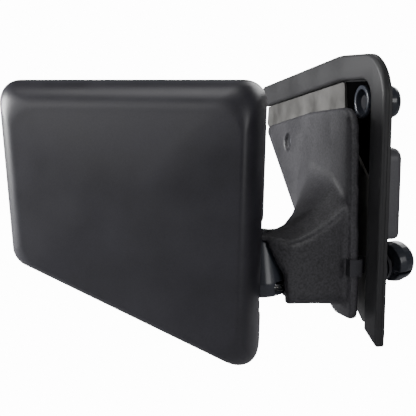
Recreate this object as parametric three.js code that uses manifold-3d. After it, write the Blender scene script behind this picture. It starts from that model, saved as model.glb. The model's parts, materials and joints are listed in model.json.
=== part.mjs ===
// Door mirror of a pick-up truck: a sail base on the door, a hollow arm cast with its bracket
// plate, a break-away head that folds about an upright pivot, and a remote lever that turns
// the glass through cables.
//
// Units are millimetres. +X points inboard (to the cabin), -X outboard, -Y to the front of the
// vehicle, +Y to the rear and +Z up. The origin lies on the sealing face against the door, at
// mid height of the upright front rail.

import * as THREE from 'three';
import { mergeVertices } from 'three/addons/utils/BufferGeometryUtils.js';
import Module from 'manifold-3d';

const wasm = await Module();
wasm.setup();

// ---- driving dimensions -------------------------------------------------------------------

const GAP = 0.3;                    // clearance kept between neighbouring pieces

const GASKET_THICK = 1.5;           // foam seal between the sail and the door
const FRAME_OUT_X = -8;             // outboard face of the sail frame
const PLATE_BACK_X = -2.2;          // inboard face of the steel base plate
const PLATE_THICK = 2;

const BRACKET_OUT_X = -20;          // outboard face of the bracket plate
const BRACKET_THICK = 6;
const BRACKET_HOLE_Y = 141;         // cover screw, seen in its deep hole
const BRACKET_HOLE_Z = 40;
const BRACKET_HOLE_R = 7.5;

const BOSS_Y = 32;                  // upper mounting boss
const BOSS_Z = 76;
const BOSS_R = 12;
const BOSS_IN_X = 23.5;              // how far the boss reaches into the door

const PIVOT_X = -79.2;               // upright fold axis of the head
const PIVOT_Y = 28.3;
const SWEEP = THREE.MathUtils.degToRad(26);   // the head leans back by this from straight out
const KNUCKLE_R = 18;               // foot of the cone that turns in the arm
const KNUCKLE_TOP_R = 9.5;
const KNUCKLE_WAIST = -47;          // the cone starts to narrow here
const CASE = new THREE.Vector3(7.8, -6.5, 0);  // datum of the head's case from the fold axis
const KNUCKLE_TOP = -18.3;
const KNUCKLE_LOW = -56;
const EAR_R = 12;
const EAR_THICK = 4.5;              // ear of the arm that lies over the knuckle
const EAR_TOP = KNUCKLE_TOP + GAP + EAR_THICK;
const POST_R = 5;
const POST_HEAD_R = 6.5;

const HEAD_RIM_Y = 22;              // case: x along the head (outboard is negative),
const HEAD_WIDE_Y = -12;            // y through its depth, both from the case's datum
const HEAD_FRONT_Y = -47;
const HEAD_CROWN = 3;
const DOOR_LOW = -68;                // opening of the head's inboard side for the arm
const DOOR_TOP = -3;
const SHELL_WALL = 2.6;
const GLASS_X = -97;                // centre of the glass gimbal
const GLASS_Z = 14;
const GIMBAL_Y = 6;
const GLASS_BACK_Y = 13;
const GLASS_THICK = 2;
const PAD_THICK = 0.8;               // foam tape between the carrier and the glass
const PAD_GAP = 0.05;

const LEVER = new THREE.Vector3(10, 22, -41);  // centre of the remote lever's gimbal
const LEVER_YAW = THREE.MathUtils.degToRad(20);
const LEVER_RISE = THREE.MathUtils.degToRad(5);
const KNOB_R = 15;

// ---- materials ----------------------------------------------------------------------------

function finish(color, roughness, metalness = 0) {
  return () => new THREE.MeshStandardMaterial({ color, roughness, metalness });
}

const grainedShell = finish('#414046', 0.55);
const texturedCast = finish('#3c3b3f', 0.7);
const framePlastic = finish('#3a3a3d', 0.75);
const glossPlastic = finish('#17181c', 0.35);
const innerPlastic = finish('#1c1c1e', 0.6);
const zincSteel = finish('#a9a8a5', 0.4, 0.8);
const darkSteel = finish('#55555a', 0.45, 0.8);
const rubber = finish('#141414', 0.9);
const silvered = finish('#dfe3e6', 0.03, 1);
const cableSheath = finish('#101012', 0.6);

// ---- solids -------------------------------------------------------------------------------

// A closed geometry as a solid that can be cut and joined.
function toSolid(geometry) {
  const plain = geometry.clone();
  plain.deleteAttribute('normal');
  plain.deleteAttribute('uv');
  const merged = mergeVertices(plain, 1e-4);
  return new wasm.Manifold(new wasm.Mesh({
    numProp: 3,
    vertProperties: Float32Array.from(merged.attributes.position.array),
    triVerts: Uint32Array.from(merged.index.array),
  }));
}

function toGeometry(solid) {
  const mesh = solid.getMesh();
  const geometry = new THREE.BufferGeometry();
  geometry.setAttribute('position', new THREE.BufferAttribute(mesh.vertProperties, 3));
  geometry.setIndex(new THREE.BufferAttribute(mesh.triVerts, 1));
  geometry.computeVertexNormals();
  return geometry;
}

function join(...geometries) {
  const solids = geometries.map(toSolid);
  return toGeometry(solids.reduce((whole, next) => whole.add(next)));
}

function cut(geometry, ...tools) {
  const solids = tools.map(toSolid);
  return toGeometry(solids.reduce((whole, next) => whole.subtract(next), toSolid(geometry)));
}

// Points of a closed outline whose corners [x, y, radius] are rounded by arcs.
function roundedOutline(corners, steps = 5) {
  const points = [];
  corners.forEach(([x, y, radius], i) => {
    const before = corners.at(i - 1);
    const after = corners[(i + 1) % corners.length];
    const corner = new THREE.Vector2(x, y);
    const back = new THREE.Vector2(before[0] - x, before[1] - y).normalize();
    const ahead = new THREE.Vector2(after[0] - x, after[1] - y).normalize();
    const half = Math.acos(THREE.MathUtils.clamp(back.dot(ahead), -1, 1)) / 2;
    const reach = radius / Math.tan(half);
    if (reach > 0.5 * Math.min(corner.distanceTo(new THREE.Vector2(before[0], before[1])),
      corner.distanceTo(new THREE.Vector2(after[0], after[1])))) {
      throw new Error(`corner ${x}, ${y} has no room for radius ${radius}`);
    }
    const start = corner.clone().addScaledVector(back, reach);
    const end = corner.clone().addScaledVector(ahead, reach);
    const middle = back.clone().add(ahead).normalize().multiplyScalar(radius / Math.sin(half));
    const centre = corner.clone().add(middle);
    const from = Math.atan2(start.y - centre.y, start.x - centre.x);
    const to = Math.atan2(end.y - centre.y, end.x - centre.x);
    const turn = Math.atan2(Math.sin(to - from), Math.cos(to - from));
    for (let k = 0; k <= steps; k += 1) {
      const angle = from + (turn * k) / steps;
      const onArc = new THREE.Vector2(Math.cos(angle), Math.sin(angle)).multiplyScalar(radius);
      points.push(onArc.add(centre));
    }
  });
  return points;
}

// The corners of a counterclockwise polygon with each edge moved inward by its own inset.
function insetCorners(corners, insets, radii) {
  const edges = corners.map(([x, y], i) => {
    const next = corners[(i + 1) % corners.length];
    const along = new THREE.Vector2(next[0] - x, next[1] - y).normalize();
    const inward = new THREE.Vector2(-along.y, along.x);
    return { point: new THREE.Vector2(x, y).addScaledVector(inward, insets[i]), along };
  });
  return edges.map((edge, i) => {
    const before = edges.at(i - 1);
    const offset = edge.point.clone().sub(before.point);
    const cross = before.along.cross(edge.along);
    const distance = offset.cross(edge.along) / cross;
    const corner = before.point.clone().addScaledVector(before.along, distance);
    return [corner.x, corner.y, radii[i]];
  });
}

// A closed skin through rings of equal length; `flat` gives an end ring's own plane.
function loft(rings, flat) {
  const count = rings[0].length;
  const positions = rings.flat().flatMap((p) => [p.x, p.y, p.z]);
  const index = [];
  for (let r = 0; r + 1 < rings.length; r += 1) {
    for (let k = 0; k < count; k += 1) {
      const a = r * count + k;
      const b = r * count + ((k + 1) % count);
      index.push(a, b, b + count, a, b + count, a + count);
    }
  }
  const turnsLeft = THREE.ShapeUtils.area(rings[0].map(flat)) > 0;
  const cap = (ring, base, ahead) => {
    THREE.ShapeUtils.triangulateShape(ring.map(flat), []).forEach((tri) => {
      const [a, b, c] = tri.map((k) => k + base);
      index.push(...(ahead ? [a, b, c] : [b, a, c]));
    });
  };
  cap(rings[0], 0, !turnsLeft);
  cap(rings.at(-1), (rings.length - 1) * count, turnsLeft);
  const geometry = new THREE.BufferGeometry();
  geometry.setAttribute('position', new THREE.Float32BufferAttribute(positions, 3));
  geometry.setIndex(index);
  return facingOut(geometry);
}

const planeYZ = (p) => new THREE.Vector2(p.y, p.z);
const planeXZ = (p) => new THREE.Vector2(p.x, p.z);

// Turns the triangles round when the skin encloses a negative volume.
function facingOut(geometry) {
  const p = geometry.attributes.position;
  const order = geometry.index.array;
  const corner = (i) => new THREE.Vector3().fromBufferAttribute(p, order[i]);
  let volume = 0;
  for (let i = 0; i < order.length; i += 3) {
    volume += corner(i).dot(corner(i + 1).cross(corner(i + 2)));
  }
  if (volume < 0) {
    const flipped = Array.from(order);
    for (let i = 0; i < flipped.length; i += 3) {
      [flipped[i], flipped[i + 1]] = [flipped[i + 1], flipped[i]];
    }
    geometry.setIndex(flipped);
  }
  geometry.computeVertexNormals();
  return geometry;
}

// An outline in the Y-Z plane made solid from x0 to x1.
function plateAcrossX(outline, x0, x1, holes = []) {
  const shape = new THREE.Shape(outline);
  shape.holes = holes.map((points) => new THREE.Path(points));
  const geometry = new THREE.ExtrudeGeometry(shape, { depth: x1 - x0, bevelEnabled: false });
  const turn = new THREE.Matrix4().set(0, 0, 1, x0, 1, 0, 0, 0, 0, 1, 0, 0, 0, 0, 0, 1);
  return geometry.applyMatrix4(turn);
}

// An outline in the X-Z plane made solid from y0 to y1.
function plateAcrossY(outline, y0, y1, holes = []) {
  const shape = new THREE.Shape(outline);
  shape.holes = holes.map((points) => new THREE.Path(points));
  const geometry = new THREE.ExtrudeGeometry(shape, { depth: y1 - y0, bevelEnabled: false });
  const turn = new THREE.Matrix4().set(1, 0, 0, 0, 0, 0, -1, y1, 0, 1, 0, 0, 0, 0, 0, 1);
  return geometry.applyMatrix4(turn);
}

// A turned piece about the X axis; the profile is [axial, radius] pairs.
function turnedX(profile, segments = 20) {
  const points = profile.map(([axial, radius]) => new THREE.Vector2(radius, axial));
  const geometry = new THREE.LatheGeometry(points, segments);
  return facingOut(mergedIndex(geometry.rotateZ(-Math.PI / 2)));
}

function turnedY(profile, segments = 20) {
  const points = profile.map(([axial, radius]) => new THREE.Vector2(radius, axial));
  return facingOut(mergedIndex(new THREE.LatheGeometry(points, segments)));
}

function turnedZ(profile, segments = 20) {
  const points = profile.map(([axial, radius]) => new THREE.Vector2(radius, axial));
  const geometry = new THREE.LatheGeometry(points, segments);
  return facingOut(mergedIndex(geometry.rotateX(Math.PI / 2)));
}

// Joins the seam and the poles of a turned skin and drops the flat triangles there.
function mergedIndex(geometry) {
  geometry.deleteAttribute('normal');
  geometry.deleteAttribute('uv');
  const merged = mergeVertices(geometry, 1e-4);
  const kept = [];
  const order = merged.index.array;
  for (let i = 0; i < order.length; i += 3) {
    const [a, b, c] = [order[i], order[i + 1], order[i + 2]];
    if (a !== b && b !== c && c !== a) {
      kept.push(a, b, c);
    }
  }
  merged.setIndex(kept);
  return merged;
}

// A round bar of the given radius along a curve.
function bar(curve, radius, sides, steps) {
  const section = new THREE.Shape();
  section.absarc(0, 0, radius, 0, 2 * Math.PI);
  const options = { extrudePath: curve, steps, curveSegments: sides, bevelEnabled: false };
  return new THREE.ExtrudeGeometry(section, options);
}

function boxBetween(x0, x1, y0, y1, z0, z1) {
  const geometry = new THREE.BoxGeometry(x1 - x0, y1 - y0, z1 - z0);
  return geometry.translate((x0 + x1) / 2, (y0 + y1) / 2, (z0 + z1) / 2);
}

function circle(y, z, radius, count = 20) {
  const outline = [];
  for (let k = 0; k < count; k += 1) {
    const angle = (2 * Math.PI * k) / count;
    outline.push(new THREE.Vector2(y + radius * Math.cos(angle), z + radius * Math.sin(angle)));
  }
  return outline;
}

function piece(name, geometry, material) {
  const mesh = new THREE.Mesh(geometry, material());
  mesh.name = name;
  return mesh;
}

// ---- sail base ----------------------------------------------------------------------------

// The sail trim is a 7: an upright front rail and a top rail that falls to the rear.
const SAIL_CORNERS = [
  [-12, -92, 2], [-12, 109.5, 32], [64, 109.6, 120], [250, 85, 6], [247, 66, 4],
  [62, 91, 100], [9, 92, 14], [9, -84, 3],
].reverse();

function inset(corners, distance, shrink) {
  const radii = corners.map((corner) => Math.max(corner[2] - shrink, 0.8));
  return insetCorners(corners, Array(corners.length).fill(distance), radii);
}

function across(outline, x) {
  return outline.map((p) => new THREE.Vector3(x, p.x, p.y));
}

// The outboard edges are rounded by two shallow steps.
function sailFrame() {
  const round = [[0, -GASKET_THICK], [0, -5.6], [0.8, -7.3], [2.4, FRAME_OUT_X]];
  const rings = round.map(([d, x]) => across(roundedOutline(inset(SAIL_CORNERS, d, d)), x));
  return piece('sail_frame', loft(rings, planeYZ), framePlastic);
}

function doorGasket() {
  const corners = [
    [-9, -89, 3], [-9, 106, 30], [64, 106.8, 120], [246, 84, 2], [244, 71, 2],
    [62, 96.4, 100], [4, 97, 12], [4, -83, 3],
  ];
  return piece('door_gasket', plateAcrossX(roundedOutline(corners), -GASKET_THICK, 0), rubber);
}

const PLATE_OUTLINE = [
  [13, -84, 4], [243, 50, 2], [240, 66.2, 2], [61, 90.2, 3], [58, 60, 4], [38, 40, 6], [12.5, 20, 4],
];

function platePart(name, corners, x0, x1, holes, material) {
  return piece(name, plateAcrossX(roundedOutline(corners), x0, x1, holes), material);
}

const STUDS = [[150, 60], [200, 52], [20, -66]];
const BRACKET_SCREWS = [[48, 42], [112, 30], [52, -34]];

function basePlate() {
  const holes = BRACKET_SCREWS.map(([y, z]) => circle(y, z, 3.5, 12));
  holes.push(circle(86, -6, 9, 16));
  const x0 = PLATE_BACK_X - PLATE_THICK;
  return platePart('base_plate', PLATE_OUTLINE, x0, PLATE_BACK_X, holes, zincSteel);
}

// Black moulding behind the steel plate; it shows through the gap at the front.
function innerCarrier() {
  const corners = [
    [9.6, -80, 3], [225, 52, 2], [222, 68.4, 2], [62, 90.2, 80], [9.6, 91.3, 14],
  ];
  const holes = BRACKET_SCREWS.map(([y, z]) => circle(y, z, 7, 12));
  holes.push(...STUDS.map(([y, z]) => circle(y, z, 5.5, 12)));
  holes.push(circle(BOSS_Y, BOSS_Z, BOSS_R + GAP, 20), circle(86, -6, 9, 16));
  return platePart('inner_carrier', corners, PLATE_BACK_X + GAP, 1, holes, innerPlastic);
}

// Tube for the upper door bolt, with a domed rim on the inboard side.
function upperBoss() {
  const profile = [
    [-4, BOSS_R - 3], [-4, BOSS_R], [BOSS_IN_X - 5, BOSS_R], [BOSS_IN_X - 1.5, BOSS_R - 1.6],
    [BOSS_IN_X, BOSS_R - 4.5], [BOSS_IN_X, 4.5], [2, 4.5], [2, BOSS_R - 3], [-4, BOSS_R - 3],
  ];
  const boss = piece('upper_boss', turnedX(profile, 28), glossPlastic);
  boss.position.set(0, BOSS_Y, BOSS_Z);
  return boss;
}

function upperBolt() {
  const profile = [[-1.5, 0], [-1.5, 5], [1.7, 6.5], [1.7, 3], [22, 3], [22, 0]];
  const bolt = piece('upper_bolt', turnedX(profile, 16), darkSteel);
  bolt.position.set(0, BOSS_Y, BOSS_Z);
  return bolt;
}

function doorStud(y, z, i) {
  const profile = [[PLATE_BACK_X, 0], [PLATE_BACK_X, 5], [-0.6, 5], [-0.6, 3], [11, 3], [12, 2.2], [12, 0]];
  const stud = piece(`door_stud_${i + 1}`, turnedX(profile, 14), darkSteel);
  stud.position.set(0, y, z);
  return stud;
}

function bracketScrew(y, z, i) {
  const x = PLATE_BACK_X;
  const profile = [[-12, 0], [-12, 3], [x, 3], [x, 5.5], [x + 2.4, 5.5], [x + 3, 4], [x + 3, 0]];
  const screw = piece(`bracket_screw_${i + 1}`, turnedX(profile, 14), darkSteel);
  screw.position.set(0, y, z);
  return screw;
}

// ---- bracket and arm ----------------------------------------------------------------------

const BRACKET_CORNERS = [
  [4, -76, 8], [34, -78, 14], [60, -68, 20], [197, 45, 2], [193, 51, 2], [92, 67, 120], [11, 74, 17],
];

// Outlines of the arm in planes of constant X, from the bracket to its tip.
const ARM_ROOT = [[13, -69, 8], [58, -66, 12], [122, -16, 14], [108, 32, 18], [42, 24, 14], [13, 8, 7]];
const ARM_TIP = [[6, -62, 5], [34, -63, 9], [42, -46, 8], [41, -13.5, 7], [24, -12, 7], [6, -18, 5]];
const ARM_HEEL = [[7, -42, 4], [34, -42, 6], [42, -40, 4], [41, -13.5, 7], [24, -12, 7], [7, -17, 4]];
const ARM_NOSE = [[18, -19, 2], [34, -19, 2], [40, -18.5, 2], [40, -13.6, 2], [27, -13, 2], [18, -14, 2]];
const ARM_STATIONS = [
  [-18, 0], [-20.4, 0.04], [-21.4, 0.12], [-23.6, 0.22], [-28, 0.36], [-36, 0.56], [-47, 0.79],
  [-57, 0.94], [-65, 1],
];

const HOLLOW_STATIONS = [[-1, 0.15], [-18, 0.2], [-24, 0.33], [-30, 0.46], [-44, 0.78], [-62, 1]];
const ARM_WALL = 7;

// The cone of the knuckle about the upright axis, grown by a clearance.
function knuckleCone(grown, segments = 32) {
  const low = KNUCKLE_LOW - (grown ? 20 : 0);
  const foot = KNUCKLE_R + grown;
  const top = KNUCKLE_TOP + (grown ? GAP : 0);
  const narrow = KNUCKLE_TOP_R + 2 * grown;
  return turnedZ([[low, 0], [low, foot], [KNUCKLE_WAIST, foot], [top, narrow], [top, 0]], segments);
}

function armOutline(share, shrink = 0) {
  const corners = ARM_ROOT.map((root, i) => root.map((v, k) => v + (ARM_TIP[i][k] - v) * share));
  return roundedOutline(shrink ? inset(corners, shrink, shrink) : corners, 4);
}

function armBracket() {
  const outer = [...BRACKET_CORNERS];
  const x1 = BRACKET_OUT_X + BRACKET_THICK;
  const soft = [[0, x1], [0, BRACKET_OUT_X + 2], [0.7, BRACKET_OUT_X + 0.6], [2.2, BRACKET_OUT_X]];
  const plate = loft(soft.map(([d, x]) => across(roundedOutline(inset(outer, d, d)), x)), planeYZ);
  const pedestal = [[22, -56, 6], [58, -54, 12], [140, 14, 8], [130, 40, 8], [34, 52, 8]];
  const foot = plateAcrossX(roundedOutline(pedestal), x1 - 1, PLATE_BACK_X - PLATE_THICK - GAP);
  const stations = ARM_STATIONS.map(([x, share]) => across(armOutline(share), x));
  stations.push(across(roundedOutline(ARM_HEEL, 4), -66.5), across(roundedOutline(ARM_NOSE, 4), -81));
  const arm = loft(stations, planeYZ);
  const ear = new THREE.CylinderGeometry(EAR_R, EAR_R, EAR_THICK, 32).rotateX(Math.PI / 2);
  ear.translate(PIVOT_X, PIVOT_Y, KNUCKLE_TOP + GAP + EAR_THICK / 2);
  const swing = knuckleCone(1.2).translate(PIVOT_X, PIVOT_Y, 0);
  const postHole = new THREE.CylinderGeometry(POST_R, POST_R, 20, 16).rotateX(Math.PI / 2);
  postHole.translate(PIVOT_X, PIVOT_Y, KNUCKLE_TOP);
  const headRoom = new THREE.CylinderGeometry(POST_HEAD_R + GAP, POST_HEAD_R + GAP, 10, 16);
  headRoom.rotateX(Math.PI / 2).translate(PIVOT_X, PIVOT_Y, EAR_TOP + 5);
  const insides = HOLLOW_STATIONS.map(([x, share]) => across(armOutline(share, ARM_WALL), x));
  const hollow = loft(insides, planeYZ);
  const hole = new THREE.CylinderGeometry(BRACKET_HOLE_R, BRACKET_HOLE_R, 5, 24);
  hole.rotateZ(Math.PI / 2).translate(BRACKET_OUT_X + 1.5, BRACKET_HOLE_Y, BRACKET_HOLE_Z);
  const bores = BRACKET_SCREWS.map(([y, z]) => {
    const bore = new THREE.CylinderGeometry(3 + GAP, 3 + GAP, 12, 12).rotateZ(Math.PI / 2);
    return bore.translate(-8, y, z);
  });
  const body = join(cut(join(plate, foot, arm), swing), ear);
  return piece('arm_bracket', cut(body, hollow, postHole, headRoom, hole, ...bores), texturedCast);
}

function coverScrew() {
  const x = BRACKET_OUT_X + 4;
  const profile = [[x - 2, 0], [x - 2, 3], [x - 1.2, 5], [x, 5], [x, 0]];
  const screw = piece('cover_screw', turnedX(profile, 16), darkSteel);
  screw.position.set(0, BRACKET_HOLE_Y, BRACKET_HOLE_Z);
  return screw;
}

// Spring clip folded over the front edge of the bracket.
function edgeClip() {
  const outline = [
    [-21.6, 3.6], [-21.6, 10.5], [-20.3, 10.5], [-20.3, 5], [-13.7, 5], [-13.7, 17], [-5.6, 17],
    [-5.6, 14],
    [-12.3, 14], [-12.3, 3.6],
  ].map(([x, y]) => new THREE.Vector2(x, y));
  const geometry = new THREE.ExtrudeGeometry(new THREE.Shape(outline), { depth: 12, bevelEnabled: false });
  return piece('edge_clip', geometry.translate(0, 0, -44), darkSteel);
}

// ---- fold pivot ---------------------------------------------------------------------------

function upright(name, profile, material, segments = 24) {
  const turned = piece(name, turnedZ(profile, segments), material);
  turned.position.set(PIVOT_X, PIVOT_Y, 0);
  return turned;
}

// The post hangs from the ear and carries the spring, washer and nut inside the knuckle.
function pivotPost() {
  const r = POST_R - GAP;
  const top = EAR_TOP + 1.4;
  const profile = [[-46, 0], [-46, r], [EAR_TOP, r], [EAR_TOP, POST_HEAD_R], [top, POST_HEAD_R], [top, 0]];
  return upright('pivot_post', profile, darkSteel);
}

function helix(radius, z0, z1, turns) {
  const coil = new THREE.Curve();
  coil.getPoint = (t) => {
    const angle = 2 * Math.PI * turns * t;
    return new THREE.Vector3(radius * Math.cos(angle), radius * Math.sin(angle), z0 + (z1 - z0) * t);
  };
  return coil;
}

function pivotSpring() {
  const spring = piece('pivot_spring', bar(helix(9, -38.5, -27.5, 4), 1.1, 6, 56), darkSteel);
  spring.position.set(PIVOT_X, PIVOT_Y, 0);
  return spring;
}

function pivotWasher() {
  const profile = [[-42, POST_R], [-42, 13], [-40.2, 13], [-40.2, POST_R], [-42, POST_R]];
  return upright('pivot_washer', profile, darkSteel);
}

function pivotNut() {
  const hexagon = turnedZ([[-45.6, 0], [-45.6, 8], [-42.3, 8], [-42.3, 0]], 6);
  const thread = new THREE.CylinderGeometry(POST_R, POST_R, 10, 16).rotateX(Math.PI / 2);
  const nut = piece('pivot_nut', cut(hexagon, thread.translate(0, 0, -44)), darkSteel);
  nut.position.set(PIVOT_X, PIVOT_Y, 0);
  return nut;
}

// ---- head, in its own frame: origin on the fold axis, turned by the sweep -------------------
// The case (shell, glass and adjuster) has its datum a little off that axis.

const head = new THREE.Group();
head.position.set(PIVOT_X, PIVOT_Y, 0);
head.rotation.z = -SWEEP;
const headCase = new THREE.Group();
headCase.position.copy(CASE);

// Corners of the head from its inboard foot round by the top, and how round each is.
const HEAD_CORNERS = [[-6.2, -106], [-1.8, 91.8], [-186, 91.8], [-179, -33]];
const HEAD_RADII = [9, 15, 11, 12];
const HEAD_INSET = [11, 20, 17, 10];       // inboard, top, outboard and bottom, at the front

const REAR_INSET = [4, 0.5, 1, 0.5];      // how far the sides close in again at the rim

function headRing(y, share, extra = 0) {
  const aft = Math.max(0, (y - HEAD_WIDE_Y) / (HEAD_RIM_Y - HEAD_WIDE_Y));
  const insets = HEAD_INSET.map((side, i) => side * share + REAR_INSET[i] * aft ** 1.5 + extra);
  const radii = HEAD_RADII.map((radius) => Math.max(radius - extra + 6 * share, 2));
  const outline = roundedOutline(insetCorners(HEAD_CORNERS, insets, radii));
  return outline.map((p) => new THREE.Vector3(p.x, y, p.y));
}

// Concentric rings close the crowned front face.
function crownRings(y, extra) {
  const rim = headRing(y, 1, extra);
  const middle = new THREE.Vector3(-100, y, 6);
  return [0.15, 0.5, 0.8].map((scale) => rim.map((p) => {
    const q = p.clone().sub(middle).multiplyScalar(scale).add(middle);
    q.y = y - HEAD_CROWN * (1 - scale * scale);
    return q;
  }));
}

function skirtRings(extra, back, front) {
  const rings = [headRing(front, 1, extra)];
  [70, 50, 30, 12].forEach((degrees) => {
    const a = THREE.MathUtils.degToRad(degrees);
    const y = HEAD_WIDE_Y + (front - HEAD_WIDE_Y) * Math.sin(a);
    rings.push(headRing(y, 1 - Math.cos(a), extra));
  });
  const half = (HEAD_WIDE_Y + back) / 2;
  rings.push(headRing(HEAD_WIDE_Y, 0, extra), headRing(half, 0, extra), headRing(back, 0, extra));
  return rings;
}

function headShell() {
  const front = HEAD_FRONT_Y + HEAD_CROWN;
  const outer = [...crownRings(front, 0), ...skirtRings(0, HEAD_RIM_Y, front)];
  const inFront = front + SHELL_WALL;
  const inner = [...crownRings(inFront, SHELL_WALL), ...skirtRings(SHELL_WALL, HEAD_RIM_Y, inFront)];
  const skin = loft([...outer, ...inner.reverse()], planeXZ);
  const posts = FRAME_HOLES.map(([x, z]) => shellPost(x, z));
  // The inboard side is open where the knuckle and the arm pass.
  const door = boxBetween(-20, 20, HEAD_WIDE_Y + 1, HEAD_RIM_Y + 5, DOOR_LOW, DOOR_TOP);
  const swing = knuckleCone(0.6, 28).translate(-CASE.x, -CASE.y, 0);
  return piece('head_shell', cut(join(skin, ...posts), door, swing), grainedShell);
}

// The bezel closes the rear rim round the glass.
const BEZEL_WIDTH = [17.5, 6, 6, 6];         // inboard, top, outboard and bottom

function bezel() {
  const y = HEAD_RIM_Y + GAP;
  const inner = (at) => roundedOutline(insetCorners(HEAD_CORNERS, BEZEL_WIDTH, [9, 9, 9, 9]))
    .map((p) => new THREE.Vector3(p.x, at, p.y));
  const rings = [
    inner(y), headRing(y, 0, 1), headRing(y + 1.5, 0, 0.2), headRing(y + 5, 0, 0.6),
    headRing(y + 6, 0, 2), inner(y + 5),
  ];
  const notch = boxBetween(-26, 10, y - 2, y + 8, DOOR_LOW, DOOR_TOP);
  return piece('bezel', cut(ringBody(rings), notch), innerPlastic);
}

// A body round an opening: the section is carried round and closes on itself.
function ringBody(rings) {
  const count = rings[0].length;
  const index = [];
  for (let r = 0; r < rings.length; r += 1) {
    const nextRing = ((r + 1) % rings.length) * count;
    for (let k = 0; k < count; k += 1) {
      const next = (k + 1) % count;
      index.push(r * count + k, r * count + next, nextRing + next);
      index.push(r * count + k, nextRing + next, nextRing + k);
    }
  }
  const geometry = new THREE.BufferGeometry();
  const positions = rings.flat().flatMap((p) => [p.x, p.y, p.z]);
  geometry.setAttribute('position', new THREE.Float32BufferAttribute(positions, 3));
  geometry.setIndex(index);
  return facingOut(geometry);
}

// The knuckle is a barrel about the fold axis with a flange that screws to the head frame.
function neckKnuckle() {
  const barrel = knuckleCone(0);
  const flangeY = FRAME_Y + CASE.y - GAP;
  const flange = boxBetween(-36, -5, flangeY - 7, flangeY, -55, -19);
  const beam = boxBetween(-16, -5, flangeY - 7, -4, -55, -19);
  const room = turnedZ([
    [-58, 0], [-58, 15.2], [-45, 15.2], [-39.8, 13.6], [-39, 11], [-26, 10.6], [-26, 0],
  ]);
  const postBore = new THREE.CylinderGeometry(POST_R, POST_R, 12, 16).rotateX(Math.PI / 2);
  postBore.translate(0, 0, KNUCKLE_TOP - 2);
  const glassRoom = boxBetween(-30, -9, -6, 30, KNUCKLE_LOW - 1, KNUCKLE_TOP + 1);
  const cableOut = boxBetween(-30, 0, -22, 3, -53.5, -46);
  const cableIn = boxBetween(-8, 30, -12, 30, -53.5, -47);
  const body = join(barrel, flange, beam);
  return piece('neck_knuckle', cut(body, room, postBore, glassRoom, cableOut, cableIn), glossPlastic);
}

function knuckleCap() {
  const z = KNUCKLE_LOW;
  const profile = [[z - 1.5, 0], [z - 1.5, 14], [z - GAP, 16.5], [z - GAP, 0]];
  return piece('knuckle_cap', turnedZ(profile), glossPlastic);
}

const FRAME_Y = -18.5;                     // moulded carrier inside the shell
const FRAME_HOLES = [[-52, 60], [-150, 60], [-52, -60], [-150, -14]];

function headFrame() {
  const corners = [[-24, -80, 8], [-24, 76, 8], [-174, 76, 8], [-170, -24, 8]];
  const holes = FRAME_HOLES.map(([x, z]) => circle(x, z, 3, 12));
  holes.push(roundedOutline([[-66, 34, 5], [-66, 58, 5], [-130, 58, 5], [-130, 34, 5]]));
  holes.push(circle(-78, -34, 7, 16));
  const plate = plateAcrossY(roundedOutline(corners), FRAME_Y, FRAME_Y + 3, holes);
  return piece('head_frame', plate, innerPlastic);
}

function shellScrew(x, z, i) {
  const seat = FRAME_Y + 3;
  const profile = [[-36, 0], [-36, 2.4], [seat, 2.4], [seat, 5], [seat + 2.4, 5], [seat + 2.4, 0]];
  const screw = piece(`shell_screw_${i + 1}`, turnedY(profile, 12), darkSteel);
  screw.position.set(x, 0, z);
  return screw;
}

// A post moulded inside the shell that takes a screw.
function shellPost(x, z) {
  const end = FRAME_Y - GAP;
  const profile = [[-44.5, 0], [-44.5, 6.5], [end, 5], [end, 2.7], [-38, 2.7], [-38, 0]];
  return turnedY(profile, 16).translate(x, 0, z);
}

// ---- glass and its adjuster ---------------------------------------------------------------

function adjusterBase() {
  const y0 = FRAME_Y + 3 + GAP;
  const profile = [
    [y0, 0], [y0, 30], [y0 + 12, 27], [y0 + 15, 24], [y0 + 15, 19], [y0 + 3, 18], [y0 + 3, 0],
  ];
  const base = piece('adjuster_base', turnedY(profile, 28), innerPlastic);
  base.position.set(GLASS_X, 0, GLASS_Z);
  return base;
}

// The pan ring turns about the upright pins, the carrier tilts on it.
function glassGimbal() {
  const y = GIMBAL_Y;
  const ring = turnedY([[y - 2, 12.6], [y - 2, 15.5], [y + 1, 15.5], [y + 1, 12.6], [y - 2, 12.6]], 28);
  const gimbal = piece('glass_gimbal', ring, zincSteel);
  gimbal.position.set(GLASS_X, 0, GLASS_Z);
  return gimbal;
}

const CARRIER_CORNERS = [[-27.5, -84], [-24.5, 81.8], [-176, 81.8], [-169.5, -25]];

function glassOutline(distance) {
  return roundedOutline(insetCorners(CARRIER_CORNERS, Array(4).fill(distance), [9, 9, 9, 9]));
}

function glassCarrier() {
  const plate = plateAcrossY(glassOutline(0), GLASS_BACK_Y - 3.5, GLASS_BACK_Y - PAD_THICK);
  const foot = GIMBAL_Y - 4;
  const top = GLASS_BACK_Y - 2;
  const hub = turnedY([[foot, 0], [foot, 9], [top, 11], [top, 0]], 24);
  hub.translate(GLASS_X, 0, GLASS_Z);
  return piece('glass_carrier', join(plate, hub), innerPlastic);
}

function adhesivePad() {
  const pad = plateAcrossY(glassOutline(4), GLASS_BACK_Y - PAD_THICK + PAD_GAP, GLASS_BACK_Y - PAD_GAP);
  return piece('adhesive_pad', pad, rubber);
}

function mirrorGlass() {
  const plate = plateAcrossY(glassOutline(1), GLASS_BACK_Y, GLASS_BACK_Y + GLASS_THICK);
  return piece('mirror_glass', plate, silvered);
}

// ---- remote lever -------------------------------------------------------------------------

const lever = new THREE.Group();
lever.position.copy(LEVER);
lever.rotation.set(0, -LEVER_RISE, LEVER_YAW, 'ZYX');

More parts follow.
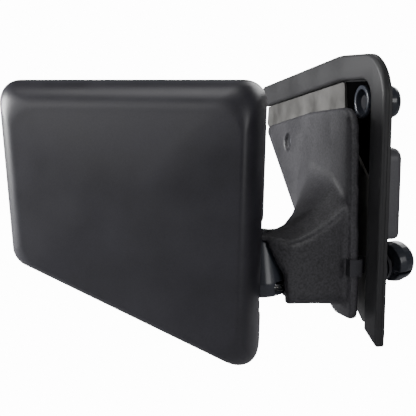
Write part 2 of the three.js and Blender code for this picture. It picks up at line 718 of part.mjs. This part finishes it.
function leverHousing() {
  const profile = [[-8.6, 0], [-8.6, 18], [-3.5, 18], [-2, 16.5], [-2, 14.6], [-6.6, 14.6], [-6.6, 0]];
  const housing = piece('lever_housing', turnedX(profile, 28), glossPlastic);
  housing.position.set(LEVER.x, LEVER.y, LEVER.z);
  return housing;
}

function leverGimbal() {
  const ring = turnedX([[-1.3, 8.5], [-1.3, 10.8], [1.3, 10.8], [1.3, 8.5], [-1.3, 8.5]], 24);
  return piece('lever_gimbal', ring, darkSteel);
}

function leverShaft() {
  const profile = [[-2.2, 0], [-2.2, 6], [2, 7], [5, 5], [17, 5], [17, 0]];
  return piece('lever_shaft', turnedX(profile, 20), darkSteel);
}

// Round knob with a domed end and a finger groove along its underside.
function leverKnob() {
  const r = KNOB_R;
  const profile = [
    [7.5, 5.4], [7.5, r - 1.4], [13, r], [20, r - 0.8], [23.6, r - 3.6], [25.4, r - 8], [26, 0],
    [17.4, 0], [17.4, 5.4], [7.5, 5.4],
  ];
  const groove = boxBetween(5, 20, -r - 2, -6.5, -7.2, -5.2);
  return piece('lever_knob', cut(turnedX(profile, 28), groove), glossPlastic);
}

// ---- control cables -----------------------------------------------------------------------

const CABLE_R = 1.8;
// The cables run from the lever through the arm to the knuckle, and from there to the adjuster.
const ARM_CABLE = [
  [3, 84, -6], [-4, 85, -6], [-16, 76, -10], [-30, 54, -26], [-44, 36, -43], [-56, 30, -50],
  [-74, 28.3, -50.3],
];
const HEAD_CABLE = [
  [-12, 6, -50.3], [-15, 0, -50.3], [-20, -8, -50.3], [-28, -12.8, -49], [-42, -12.8, -44],
  [-57, -12.8, -30], [-70, -12.8, -14],
];

function loom(name, points, radius) {
  const curve = new THREE.CatmullRomCurve3(points.map((p) => new THREE.Vector3(...p)));
  return piece(name, bar(curve, radius, 8, 26), cableSheath);
}

// Rounded box on the inboard side that holds the cable anchorage.
function controlBox() {
  const corners = [[14, -21.5, 4], [74, -21.5, 8], [74, 34, 10], [60, 44, 8], [14, 44, 8]];
  const soft = [[0, 1.2], [0, 17.8], [1.2, 20.4], [3.6, 21.8]];
  const body = loft(soft.map(([d, x]) => across(roundedOutline(inset(corners, d, d)), x)), planeYZ);
  const room = plateAcrossX(roundedOutline(inset(corners, 3, 3)), 0, 15);
  return piece('control_box', cut(body, room), glossPlastic);
}

// ---- assembly -----------------------------------------------------------------------------

const mirror = new THREE.Group();
mirror.add(
  sailFrame(), doorGasket(), basePlate(), innerCarrier(), upperBoss(), upperBolt(), armBracket(),
  coverScrew(), edgeClip(), controlBox(), leverHousing(), pivotPost(), pivotSpring(), pivotWasher(),
  pivotNut(),
);
STUDS.forEach(([y, z], i) => mirror.add(doorStud(y, z, i)));
BRACKET_SCREWS.forEach(([y, z], i) => mirror.add(bracketScrew(y, z, i)));

lever.add(leverGimbal(), leverShaft(), leverKnob());
mirror.add(lever);

headCase.add(
  headShell(), bezel(), headFrame(), adjusterBase(), glassGimbal(), glassCarrier(), adhesivePad(),
  mirrorGlass(), loom('head_cable', HEAD_CABLE, CABLE_R),
);
FRAME_HOLES.forEach(([x, z], i) => headCase.add(shellScrew(x, z, i)));
head.add(neckKnuckle(), knuckleCap(), headCase);
mirror.add(head);
mirror.add(loom('arm_cable', ARM_CABLE, CABLE_R));

export default mirror;
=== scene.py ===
"""Pick-up door mirror: the looks.

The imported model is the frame. Moulded and cast pieces whose edges the eye reads get a finer
surface here; the rest keep their own shape and get a finish. Everything is in metres, +X to
the cabin, +Y to the rear of the vehicle, +Z up.
"""

import json
import math

import bmesh
import bpy
import numpy as np
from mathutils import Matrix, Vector


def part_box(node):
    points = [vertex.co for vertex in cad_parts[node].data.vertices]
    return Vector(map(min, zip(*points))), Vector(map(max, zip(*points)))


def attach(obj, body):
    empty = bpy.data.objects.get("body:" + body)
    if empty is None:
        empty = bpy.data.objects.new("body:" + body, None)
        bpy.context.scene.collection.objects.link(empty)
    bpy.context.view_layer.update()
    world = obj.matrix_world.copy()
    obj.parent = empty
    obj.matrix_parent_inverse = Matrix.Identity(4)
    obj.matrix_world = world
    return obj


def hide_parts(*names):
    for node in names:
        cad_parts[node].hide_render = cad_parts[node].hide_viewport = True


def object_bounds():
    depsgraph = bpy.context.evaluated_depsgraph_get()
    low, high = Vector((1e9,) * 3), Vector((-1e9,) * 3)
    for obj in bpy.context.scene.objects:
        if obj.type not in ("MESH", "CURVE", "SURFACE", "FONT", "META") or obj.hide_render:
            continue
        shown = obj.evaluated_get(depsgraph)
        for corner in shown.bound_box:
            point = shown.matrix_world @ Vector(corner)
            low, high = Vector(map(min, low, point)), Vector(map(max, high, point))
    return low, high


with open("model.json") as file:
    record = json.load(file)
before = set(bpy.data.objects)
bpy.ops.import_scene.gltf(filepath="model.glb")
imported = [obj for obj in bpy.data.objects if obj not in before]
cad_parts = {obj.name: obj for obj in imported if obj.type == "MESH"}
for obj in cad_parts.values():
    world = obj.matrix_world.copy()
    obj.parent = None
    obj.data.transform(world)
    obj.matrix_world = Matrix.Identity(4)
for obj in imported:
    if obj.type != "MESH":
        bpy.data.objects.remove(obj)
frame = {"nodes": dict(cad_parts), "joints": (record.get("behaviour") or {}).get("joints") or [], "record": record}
CAD_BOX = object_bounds()
MM = 0.001
MOULDED_EDGE = 40                                  # degrees past which an edge is kept sharp
CAST_EDGE = 60                                     # the same on a softened skin

# ---- driving dimensions ----------------------------------------------------------------------

JOINTS = {joint["name"]: joint for joint in frame["joints"]}
FOLD = np.array(JOINTS["head_fold"]["pos_m"])      # the upright axis the head folds about
SWEEP = math.radians(26)                           # how far the head leans back
HEAD_RIM = 22 * MM                                 # depth of the shell's rear rim in its case
HEAD_WIDE = -12 * MM                               # where the sides start to turn in
HEAD_FRONT = -47 * MM
HEAD_CROWN = 3 * MM
CASE = np.array([7.8, -6.5, 0]) * MM               # the case's datum from the fold axis
SHELL_WALL = 2.6 * MM
HEAD_CORNERS = np.array([[-6.2, -106], [-1.8, 91.8], [-186, 91.8], [-179, -33]]) * MM
HEAD_RADII = np.array([9, 15, 11, 12]) * MM
HEAD_INSET = np.array([11, 20, 17, 10]) * MM       # inboard, top, outboard, bottom
REAR_INSET = np.array([4, 0.5, 1, 0.5]) * MM       # how far the sides close in again at the rim
DOOR_Z = (-68 * MM, -3 * MM)                       # opening of the inboard side for the arm
GLASS_CORNERS = np.array([[-27.5, -84], [-24.5, 81.8], [-176, 81.8], [-169.5, -25]]) * MM
SAIL_CORNERS = np.array([
    [9, -84], [9, 92], [62, 91], [247, 66], [250, 85], [64, 109.6], [-12, 109.5], [-12, -92],
]) * MM
SAIL_RADII = np.array([3, 14, 100, 4, 6, 120, 32, 2]) * MM
SAIL_TURNS = np.array([-1, 1, 1, -1, -1, -1, -1, -1])   # +1 at the corners of the recess
GLASS_BACK = 13 * MM
GLASS_THICK = 2 * MM
GLASS_DOME = 1.2                                   # radius of the convex face
CONE_FOOT = -76 * MM                               # heights and radii of the knuckle's room
CONE_WAIST = -47 * MM
CONE_TOP = -18 * MM
CONE_FOOT_RADIUS = 18.6 * MM
CONE_TOP_RADIUS = 10.7 * MM


# ---- surfaces --------------------------------------------------------------------------------

def rounded(corners, radii, steps=12):
    """A closed outline: at each corner an arc of that radius, tangent to both sides.

    The arc's centre lies on the corner's bisector at radius / sin(half the corner's angle).
    """
    corners = np.asarray(corners, float)
    back = np.roll(corners, 1, 0) - corners
    ahead = np.roll(corners, -1, 0) - corners
    back /= np.linalg.norm(back, axis=1)[:, None]
    ahead /= np.linalg.norm(ahead, axis=1)[:, None]
    half = np.arccos(np.clip((back * ahead).sum(1), -1, 1)) / 2
    bisector = back + ahead
    bisector /= np.linalg.norm(bisector, axis=1)[:, None]
    radii = np.maximum(np.asarray(radii, float), 1e-6)
    centre = corners + bisector * (radii / np.sin(half))[:, None]
    start = corners + back * (radii / np.tan(half))[:, None] - centre
    end = corners + ahead * (radii / np.tan(half))[:, None] - centre
    from_angle = np.arctan2(start[:, 1], start[:, 0])
    to_angle = np.arctan2(end[:, 1], end[:, 0])
    turn = (to_angle - from_angle + np.pi) % (2 * np.pi) - np.pi
    angle = from_angle[:, None] + turn[:, None] * np.linspace(0, 1, steps + 1)[None, :]
    arc = np.stack([np.cos(angle), np.sin(angle)], -1) * radii[:, None, None]
    return (centre[:, None, :] + arc).reshape(-1, 2)


def inset(corners, distances):
    """The polygon's corners after each side moves inward (to its left) by its own distance."""
    corners = np.asarray(corners, float)
    along = np.roll(corners, -1, 0) - corners
    along /= np.linalg.norm(along, axis=1)[:, None]
    inward = np.stack([-along[:, 1], along[:, 0]], -1)
    point = corners + inward * np.broadcast_to(distances, len(corners))[:, None]
    before_point, before_along = np.roll(point, 1, 0), np.roll(along, 1, 0)
    gap = point - before_point
    cross = before_along[:, 0] * along[:, 1] - before_along[:, 1] * along[:, 0]
    reach = (gap[:, 0] * along[:, 1] - gap[:, 1] * along[:, 0]) / cross
    return before_point + before_along * reach[:, None]


def make_piece(name, vertices, faces, material, body, replaced=()):
    """A mesh object at the origin with outward faces, a finish and its body."""
    mesh = bpy.data.meshes.new(name)
    mesh.from_pydata(vertices.tolist(), [], faces)
    tidy_normals(mesh)
    piece = bpy.data.objects.new(name, mesh)
    bpy.context.collection.objects.link(piece)
    dress(piece, material, body, replaced, sharp=MOULDED_EDGE)
    return piece


def dress(piece, material, body, replaced, sharp):
    """Gives a piece its material, smooth faces with sharp edges past an angle, and its body."""
    piece.data.materials.clear()
    piece.data.materials.append(material)
    piece.data.shade_smooth()
    piece.data.set_sharp_from_angle(angle=math.radians(sharp))
    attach(piece, body)
    if replaced:
        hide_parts(*replaced)


def tidy_normals(mesh):
    """Merges doubled points and turns every face outward."""
    work = bmesh.new()
    work.from_mesh(mesh)
    bmesh.ops.remove_doubles(work, verts=work.verts, dist=1e-6)
    bmesh.ops.recalc_face_normals(work, faces=work.faces)
    work.to_mesh(mesh)
    work.free()


def skin(rings, capped=True):
    """Quads between neighbouring rings of equal length; the end rings are closed by one face
    each, or joined to each other when the skin is a loop."""
    rings = np.asarray(rings)
    count, around = rings.shape[:2]
    index = np.arange(count * around).reshape(count, around)
    if not capped:
        index = np.vstack([index, index[:1]])
    nxt = np.roll(index, -1, 1)
    quads = np.stack([index[:-1], nxt[:-1], nxt[1:], index[1:]], -1).reshape(-1, 4)
    faces = quads.tolist()
    if capped:
        faces += [index[0][::-1].tolist(), index[-1].tolist()]
    return rings.reshape(-1, 3), faces


def from_head(points):
    """Case coordinates to the model's: a shift to the fold axis and a turn by the sweep."""
    points = points + CASE
    x, y, z = points[..., 0], points[..., 1], points[..., 2]
    cos, sin = math.cos(SWEEP), math.sin(SWEEP)
    return np.stack([FOLD[0] + cos * x + sin * y, FOLD[1] - sin * x + cos * y, z], -1)


def apply_modifiers(piece):
    """Bakes the modifiers into the mesh."""
    graph = bpy.context.evaluated_depsgraph_get()
    baked = bpy.data.meshes.new_from_object(piece.evaluated_get(graph))
    piece.modifiers.clear()
    piece.data = baked


def carve(piece, tools):
    """Cuts closed tool meshes, each (vertices, faces), out of a piece."""
    for number, (vertices, faces) in enumerate(tools):
        mesh = bpy.data.meshes.new(f"tool_{number}")
        mesh.from_pydata(vertices.tolist(), [], faces)
        tidy_normals(mesh)
        tool = bpy.data.objects.new(f"tool_{number}", mesh)
        bpy.context.collection.objects.link(tool)
        step = piece.modifiers.new("carve", "BOOLEAN")
        step.operation = "DIFFERENCE"
        step.solver = "EXACT"
        step.object = tool
        apply_modifiers(piece)
        bpy.data.objects.remove(tool)


def block(low, high):
    """The closed skin of an upright box in head coordinates."""
    (x0, y0, z0), (x1, y1, z1) = low, high
    ring = [[x0, y0], [x1, y0], [x1, y1], [x0, y1]]
    rings = [[[x, y, z] for x, y in ring] for z in (z0, z1)]
    points, faces = skin(np.array(rings))
    return from_head(points), faces


def softened(node, name, material, voxel, passes):
    """A finer skin of a moulded or cast node, with its edges run out into small radii.

    The node's skin is rebuilt on a grid of the given size, then each point is drawn towards
    the mean of its neighbours a few times, which leaves a radius of about one grid step.
    """
    source = frame["nodes"][node]
    mesh = source.data.copy()
    tidy_normals(mesh)
    piece = bpy.data.objects.new(name, mesh)
    bpy.context.collection.objects.link(piece)
    grid = piece.modifiers.new("grid", "REMESH")
    grid.mode = "VOXEL"
    grid.voxel_size = voxel
    relax = piece.modifiers.new("relax", "SMOOTH")
    relax.factor = 0.5
    relax.iterations = passes
    apply_modifiers(piece)
    bodies = frame["record"]["behaviour"]["bodies"]
    body = next(holder for holder, nodes in bodies.items() if node in nodes)
    dress(piece, material, body, (node,), sharp=CAST_EDGE)


# ---- materials -------------------------------------------------------------------------------

def linear(hex_colour):
    """An sRGB hex colour as linear RGBA."""
    channels = [int(hex_colour[i:i + 2], 16) / 255 for i in (1, 3, 5)]
    curve = [c / 12.92 if c <= 0.04045 else ((c + 0.055) / 1.055) ** 2.4 for c in channels]
    return (*curve, 1.0)


def add(tree, kind, settings=None, links=None):
    """Adds a node, sets its inputs or properties, and links (socket: output) pairs to it."""
    made = tree.nodes.new(kind)
    for key, value in (settings or {}).items():
        if key in made.inputs:
            made.inputs[key].default_value = value
        else:
            setattr(made, key, value)
    for key, output in (links or {}).items():
        tree.links.new(output, made.inputs[key])
    return made


def ramp(tree, source, stops):
    """A colour ramp through (position, colour) stops."""
    made = add(tree, "ShaderNodeValToRGB", links={"Fac": source})
    while len(made.color_ramp.elements) < len(stops):
        made.color_ramp.elements.new(0.5)
    for element, (position, colour) in zip(made.color_ramp.elements, stops):
        element.position = position
        element.color = linear(colour)
    return made.outputs["Color"]


def per_mm(size_mm):
    """Noise scale for a pattern whose features are size_mm across."""
    return 1 / (size_mm * MM)


def finish(name, dark, light, grain_mm, rough, bump_um, ior=1.5, metallic=0.0, blotch_mm=30,
           smooth_share=0.5):
    """A surface with broad tone variation, a fine grain and a relief of bump_um micrometres."""
    material = bpy.data.materials.new(name)
    material.use_nodes = True
    tree = material.node_tree
    tree.nodes.clear()
    place = add(tree, "ShaderNodeTexCoord").outputs["Object"]
    grain = add(tree, "ShaderNodeTexNoise", {"Scale": per_mm(grain_mm), "Detail": 3.0},
                {"Vector": place}).outputs["Fac"]
    blotch = add(tree, "ShaderNodeTexNoise", {"Scale": per_mm(blotch_mm), "Detail": 2.0},
                 {"Vector": place}).outputs["Fac"]
    mixed = add(tree, "ShaderNodeMix", {"Factor": smooth_share},
                {"A": grain, "B": blotch}).outputs["Result"]
    colour = ramp(tree, mixed, [(0.32, dark), (0.68, light)])
    spread = add(tree, "ShaderNodeMapRange",
                 {"To Min": rough[0], "To Max": rough[1], "From Min": 0.3, "From Max": 0.7},
                 {"Value": blotch}).outputs["Result"]
    relief = add(tree, "ShaderNodeBump", {"Strength": 1.0, "Distance": bump_um * 1e-6},
                 {"Height": grain}).outputs["Normal"]
    shader = add(tree, "ShaderNodeBsdfPrincipled",
                 {"Metallic": metallic, "IOR": ior},
                 {"Base Color": colour, "Roughness": spread, "Normal": relief})
    add(tree, "ShaderNodeOutputMaterial", links={"Surface": shader.outputs["BSDF"]})
    return material


# Moulded ABS with a spark-eroded grain: a satin charcoal with a cool cast. The real grain is
# about 0.3 mm, drawn at 0.9 mm so that it shows.
SHELL_ABS = finish("grained_abs", "#1e1d23", "#2b2a31", 0.9, (0.38, 0.46), 22, ior=1.53)
# Die-cast alloy under a textured powder coat: coarse dark orange peel with light tips.
CAST_COAT = finish("textured_powder_coat", "#1b1b1e", "#403f43", 1.5, (0.44, 0.56), 110,
                   smooth_share=0.25)
# Moulded TPO trim: smooth, matt and slightly grey with handling.
TRIM_TPO = finish("matt_tpo_trim", "#19191b", "#252527", 0.8, (0.5, 0.62), 14)
# Glass-filled nylon, moulded smooth: blue-black with soft highlights.
NYLON = finish("moulded_nylon", "#2b2e35", "#383c44", 1.2, (0.24, 0.34), 8, ior=1.53)
# The same nylon in grey and moulded matt, as on the cable box; part of its lightness is painted light for the
# light on the box's front face.
GREY_NYLON_AND_PAINTED_LIGHT = finish("matt_grey_nylon_painted_light", "#555559", "#636367", 1.2, (0.45, 0.55), 12, ior=1.53)
# Plain polypropylene of the hidden mouldings.
INNER_PP = finish("moulded_polypropylene", "#060607", "#0c0c0e", 1.0, (0.55, 0.7), 12)
# Zinc-plated sheet: pale grey metal with cloudy, slightly yellow passivation.
ZINC = finish("zinc_plated_sheet", "#555452", "#72716f", 14.0, (0.4, 0.55), 4, metallic=0.6,
              blotch_mm=22)
# Phosphated screws and springs: dark grey steel with an oily sheen.
PHOSPHATE = finish("phosphated_steel", "#2c2c2f", "#48484c", 0.9, (0.38, 0.5), 8, metallic=0.8)
# Closed-cell foam rubber.
RUBBER = finish("foam_rubber", "#0a0a0a", "#151515", 0.8, (0.8, 0.9), 30)
# Black moulding behind the sail, made near black and without sheen: painted shade standing in for the dark recess
# there.
RECESS_SHADE_BLACK = finish("black_pp_painted_shade", "#020202", "#060606", 0.7, (0.95, 1.0), 40, ior=1.05)
# Extruded cable jacket.
JACKET = finish("cable_jacket", "#0b0b0c", "#151517", 1.4, (0.35, 0.45), 6)


def silvered_glass():
    """Chrome-silvered glass: a clear mirror with a faintly blue, very slightly uneven face."""
    material = bpy.data.materials.new("silvered_glass")
    material.use_nodes = True
    tree = material.node_tree
    tree.nodes.clear()
    place = add(tree, "ShaderNodeTexCoord").outputs["Object"]
    cloud = add(tree, "ShaderNodeTexNoise", {"Scale": per_mm(60), "Detail": 1.0},
                {"Vector": place}).outputs["Fac"]
    colour = ramp(tree, cloud, [(0.3, "#d9dde0"), (0.7, "#e4e8eb")])
    shader = add(tree, "ShaderNodeBsdfPrincipled", {"Metallic": 1.0, "Roughness": 0.02},
                 {"Base Color": colour})
    add(tree, "ShaderNodeOutputMaterial", links={"Surface": shader.outputs["BSDF"]})
    return material


SILVER = silvered_glass()

SLOT_FINISH = {
    "shell_plastic": SHELL_ABS, "textured_cast": CAST_COAT, "frame_plastic": TRIM_TPO,
    "gloss_plastic": NYLON, "inner_plastic": INNER_PP, "zinc_steel": ZINC,
    "dark_steel": PHOSPHATE, "black_rubber": RUBBER, "silvered_glass": SILVER,
    "cable_sheath": JACKET,
}


def dress_frame():
    """Every carried-over node gets the finish of its slot."""
    for row in frame["record"]["subparts"]:
        node = frame["nodes"][row["node"]]
        if not node.material_slots:
            node.data.materials.append(SLOT_FINISH[row["material_slot"]])
        for slot in node.material_slots:
            slot.material = SLOT_FINISH[row["material_slot"]]
    # The carrier takes the near-black painted shade in place of its slot's finish.
    frame["nodes"]["inner_carrier"].material_slots[0].material = RECESS_SHADE_BLACK


# ---- head ------------------------------------------------------------------------------------

def head_ring(depth, share, extra=0.0):
    """The head's outline at a depth: sides moved in by their share of the full turn-in."""
    aft = max(0.0, (depth - HEAD_WIDE) / (HEAD_RIM - HEAD_WIDE))
    sides = HEAD_INSET * share + REAR_INSET * aft ** 1.5 + extra
    radii = np.maximum(HEAD_RADII - extra + 6 * MM * share, 1.5 * MM)
    outline = rounded(inset(HEAD_CORNERS, sides), radii)
    return np.stack([outline[:, 0], np.full(len(outline), depth), outline[:, 1]], -1)


def shell_rings(extra, front):
    """Rings from the middle of the crowned face out to the rim.

    The face is a paraboloid over shrinking copies of its edge; the side is a quarter of a
    superellipse between the face's edge and the widest section, then straight to the rim.
    """
    edge = head_ring(front, 1, extra)
    middle = np.array([-100 * MM, front, 6 * MM])
    rings = []
    for scale in np.linspace(0.06, 0.96, 16):
        ring = (edge - middle) * scale + middle
        ring[:, 1] = front - HEAD_CROWN * (1 - scale ** 2)
        rings.append(ring)
    for angle in np.linspace(math.pi / 2, 0, 22):
        depth = HEAD_WIDE + (front - HEAD_WIDE) * math.sin(angle) ** 0.9
        rings.append(head_ring(depth, (1 - math.cos(angle)) ** 1.05, extra))
    for depth in np.linspace(HEAD_WIDE, HEAD_RIM, 6)[1:]:
        rings.append(head_ring(depth, 0, extra))
    return rings


def head_shell():
    """The back shell: outer and inner skins joined at the rim, open where the arm passes."""
    front = HEAD_FRONT + HEAD_CROWN
    outer = shell_rings(0.0, front)
    lip = [head_ring(HEAD_RIM, 0, 0.25 * MM)]
    outer[-1] = head_ring(HEAD_RIM - 0.4 * MM, 0, 0)
    inner = shell_rings(SHELL_WALL, front + SHELL_WALL)
    points, faces = skin(np.array([*outer, *lip, *inner[::-1]]))
    piece = make_piece("back_shell", from_head(points), faces, SHELL_ABS, "head",
                       ("head_shell",))
    door_low = (-20 * MM, HEAD_WIDE + 1 * MM, DOOR_Z[0])
    door_high = (20 * MM, HEAD_RIM + 5 * MM, DOOR_Z[1])
    carve(piece, [block(door_low, door_high), knuckle_room()])
    dress_again(piece, SHELL_ABS)


def knuckle_room():
    """The closed cone of the knuckle about the fold axis, grown by the clearance in the shell."""
    tip = 0.1 * MM
    profile = [(CONE_FOOT, tip), (CONE_FOOT, CONE_FOOT_RADIUS), (CONE_WAIST, CONE_FOOT_RADIUS),
               (CONE_TOP, CONE_TOP_RADIUS), (CONE_TOP, tip)]
    angle = np.linspace(0, 2 * np.pi, 48, endpoint=False)
    rings = [np.stack([FOLD[0] + r * np.cos(angle), FOLD[1] + r * np.sin(angle),
                       np.full(len(angle), z)], -1) for z, r in profile]
    return skin(np.array(rings))


def dress_again(piece, material):
    """Smooth faces and the material once more, after a carve has renewed the mesh."""
    piece.data.materials.clear()
    piece.data.materials.append(material)
    piece.data.shade_smooth()
    piece.data.set_sharp_from_angle(angle=math.radians(MOULDED_EDGE))


def screw_posts():
    """The four posts inside the shell: a flared tube round each screw, by its own profile."""
    along = np.array([math.sin(SWEEP), math.cos(SWEEP), 0.0])
    side = np.array([math.cos(SWEEP), -math.sin(SWEEP), 0.0])
    up = np.array([0.0, 0.0, 1.0])
    profile = np.array([
        [-18, 7.2], [-16, 5.8], [-9, 5.2], [7.2, 5.0], [7.2, 2.8], [-17, 2.8],
    ]) * MM
    angle = np.linspace(0, 2 * np.pi, 32, endpoint=False)
    around = np.cos(angle)[:, None] * side + np.sin(angle)[:, None] * up
    for number in range(1, 5):
        low, high = (np.array(corner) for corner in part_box(f"shell_screw_{number}"))
        centre = (low + high) / 2
        rings = [centre + along * (a - 0.1 * MM) + r * around for a, r in profile]
        points, faces = skin(np.array(rings), capped=False)
        make_piece(f"screw_post_{number}", points, faces, SHELL_ABS, "head")


def glass_ring(scale, depth, shrink):
    """The glass outline, shrunk towards its middle, at a depth.

    In front of the back face it is bent to a sphere: reach squared over twice the radius.
    """
    middle = np.array([-98 * MM, 0.0, 20 * MM])
    outline = rounded(inset(GLASS_CORNERS, 1 * MM + shrink), np.full(4, 8 * MM), 10)
    flat = np.stack([outline[:, 0], np.zeros(len(outline)), outline[:, 1]], -1)
    moved = (flat - middle) * scale + middle
    reach = np.linalg.norm(moved - middle, axis=1)
    moved[:, 1] = depth - reach ** 2 / (2 * GLASS_DOME) * (depth > GLASS_BACK)
    return moved


def glass_plate():
    """The mirror glass: a shallow dome with a ground edge, by rings from back to front."""
    rings = [glass_ring(0.05, GLASS_BACK, 0), glass_ring(1, GLASS_BACK, 0),
             glass_ring(1, GLASS_BACK + GLASS_THICK * 0.25, 0)]
    for scale in np.linspace(1, 0.04, 18):
        rings.append(glass_ring(scale, GLASS_BACK + GLASS_THICK, 0.5 * MM))
    rings = np.array(rings)
    rings[2:, :, 1] = np.maximum(rings[2:, :, 1], GLASS_BACK + 0.3 * MM)
    points, faces = skin(rings)
    make_piece("convex_glass", from_head(points), faces, SILVER, "glass",
               ("mirror_glass",))


# ---- sail base -------------------------------------------------------------------------------

def sail_trim():
    """The 7-shaped trim: its outline carried outboard with a full rounded outer edge."""
    low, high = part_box("sail_frame")
    inboard, outboard = high[0], low[0]
    radius = 2.6 * MM
    rings = []
    steps = [(0.5 * MM, inboard), (0.0, inboard - 0.5 * MM), (0.0, inboard - 2.2 * MM),
             (0.35 * MM, inboard - 2.5 * MM), (0.0, inboard - 2.8 * MM)]
    for angle in np.linspace(0, math.pi / 2, 9):
        steps.append((radius * (1 - math.cos(angle)), outboard + radius * (1 - math.sin(angle))))
    for distance, x in steps:
        corners = inset(SAIL_CORNERS, distance)
        radii = np.maximum(SAIL_RADII + SAIL_TURNS * distance, 0.5 * MM)
        outline = rounded(corners, radii, 14)
        rings.append(np.stack([np.full(len(outline), x), outline[:, 0], outline[:, 1]], -1))
    points, faces = skin(np.array(rings))
    make_piece("sail_trim", points, faces, TRIM_TPO, "base", ("sail_frame",))


def trim_web():
    """The thin web that closes the trim down to the plate: a rectangle carried along the top
    rail, from just inside the rail's lower edge to just below the carrier's upper edge."""
    outboard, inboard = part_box("inner_carrier")[0][0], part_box("sail_frame")[1][0]
    along = np.linspace(20, 240, 45) * MM
    rail = np.interp(along, np.array([9, 62, 247]) * MM, np.array([92, 91, 66]) * MM)
    carrier = np.interp(along, np.array([9.6, 62, 240]) * MM, np.array([91.3, 90.2, 66]) * MM)
    upper, lower = rail + 0.5 * MM, carrier - 0.3 * MM
    corners = [(outboard, lower), (inboard, lower), (inboard, upper), (outboard, upper)]
    rings = [np.stack([np.full(len(along), x), along, z], -1) for x, z in corners]
    points, faces = skin(np.stack(rings, 1))
    make_piece("trim_web", points, faces, TRIM_TPO, "base")


# ---- stage -----------------------------------------------------------------------------------

WHITE = 14.0                                       # what the lens sees of sweep and floor
AMBIENT = 0.07                                     # what they give the mirror as light


def floor():
    """A wide pale floor below the mirror, bright to the lens like a light table."""
    mesh = bpy.data.meshes.new("floor")
    level = CAD_BOX[0][2] - 0.06
    reach = 6.0
    mesh.from_pydata([(-reach, -reach, level), (reach, -reach, level), (reach, reach, level),
                      (-reach, reach, level)], [], [(0, 1, 2, 3)])
    plane = bpy.data.objects.new("floor", mesh)
    bpy.context.collection.objects.link(plane)
    material = bpy.data.materials.new("pale_floor")
    material.use_nodes = True
    tree = material.node_tree
    tree.nodes.clear()
    pale = add(tree, "ShaderNodeBsdfDiffuse", {"Color": linear("#9c9c9f")})
    glow = add(tree, "ShaderNodeEmission", {"Strength": WHITE})
    seen = add(tree, "ShaderNodeLightPath").outputs["Is Camera Ray"]
    mixed = add(tree, "ShaderNodeMixShader",
                links={0: seen, 1: pale.outputs[0], 2: glow.outputs[0]})
    add(tree, "ShaderNodeOutputMaterial", links={"Surface": mixed.outputs[0]})
    mesh.materials.append(material)


def area_light(name, place, aim, size, power):
    """A soft square light of the given size that faces a point."""
    data = bpy.data.lights.new(name, "AREA")
    data.size = size
    data.energy = power
    light = bpy.data.objects.new(name, data)
    light.location = place
    light.rotation_euler = (Vector(aim) - Vector(place)).to_track_quat("-Z", "Y").to_euler()
    bpy.context.collection.objects.link(light)


def studio():
    """A white sweep behind the mirror, dim in itself, and five soft boxes.

    The strongest stands outboard and to the rear and rakes the bracket behind the head. One
    above lights the tops, one in front and outboard fills the shell, and two weak ones on the
    cabin side fill the knob, the box and the door face.
    """
    world = bpy.data.worlds.new("white_sweep")
    bpy.context.scene.world = world
    world.use_nodes = True
    tree = world.node_tree
    tree.nodes.clear()
    dim = add(tree, "ShaderNodeBackground", {"Strength": AMBIENT})
    bright = add(tree, "ShaderNodeBackground", {"Strength": WHITE})
    for room in (dim, bright):
        room.inputs["Color"].default_value = (1, 1, 1, 1)
    seen = add(tree, "ShaderNodeLightPath").outputs["Is Camera Ray"]
    mixed = add(tree, "ShaderNodeMixShader",
                links={0: seen, 1: dim.outputs[0], 2: bright.outputs[0]})
    add(tree, "ShaderNodeOutputWorld", links={"Surface": mixed.outputs[0]})
    area_light("rear_outboard", (-1.15, 0.46, 0.26), (-0.02, 0.1, 0.03), 0.45, 29)
    area_light("overhead", (-0.35, 0.0, 1.4), (-0.1, 0.05, 0), 0.9, 8)
    area_light("front_outboard", (-1.3, -0.9, 0.6), (-0.15, 0.05, 0), 1.0, 9)
    area_light("front_inboard", (0.5, -1.1, 0.3), (0.02, 0.05, 0), 0.5, 4)
    area_light("rear_inboard", (0.8, 0.9, 0.5), (0, 0.1, 0), 0.8, 8)


def camera():
    """The view from in front of the vehicle, outboard of the mirror and a little above it."""
    data = bpy.data.cameras.new("view")
    data.sensor_width = 36
    data.lens = 69.23
    view = bpy.data.objects.new("view", data)
    view.location = (-0.248, -0.4978, 0.0906)
    view.rotation_euler = (math.radians(90 - 9), 0, math.radians(-14))
    bpy.context.collection.objects.link(view)
    bpy.context.scene.camera = view


camera()
studio()
floor()
dress_frame()
head_shell()
screw_posts()
glass_plate()
sail_trim()
trim_web()
softened("arm_bracket", "cast_arm", CAST_COAT, 1.4 * MM, 5)
softened("neck_knuckle", "neck_barrel", NYLON, 0.8 * MM, 3)
softened("lever_knob", "finger_knob", NYLON, 0.6 * MM, 3)
softened("upper_boss", "boss_tube", NYLON, 0.6 * MM, 2)
# The cable box's grey is partly painted light, for the light on its front face.
softened("control_box", "cable_box", GREY_NYLON_AND_PAINTED_LIGHT, 0.8 * MM, 3)
softened("lever_housing", "lever_cup", NYLON, 0.7 * MM, 2)
softened("bezel", "glass_bezel", INNER_PP, 0.9 * MM, 3)
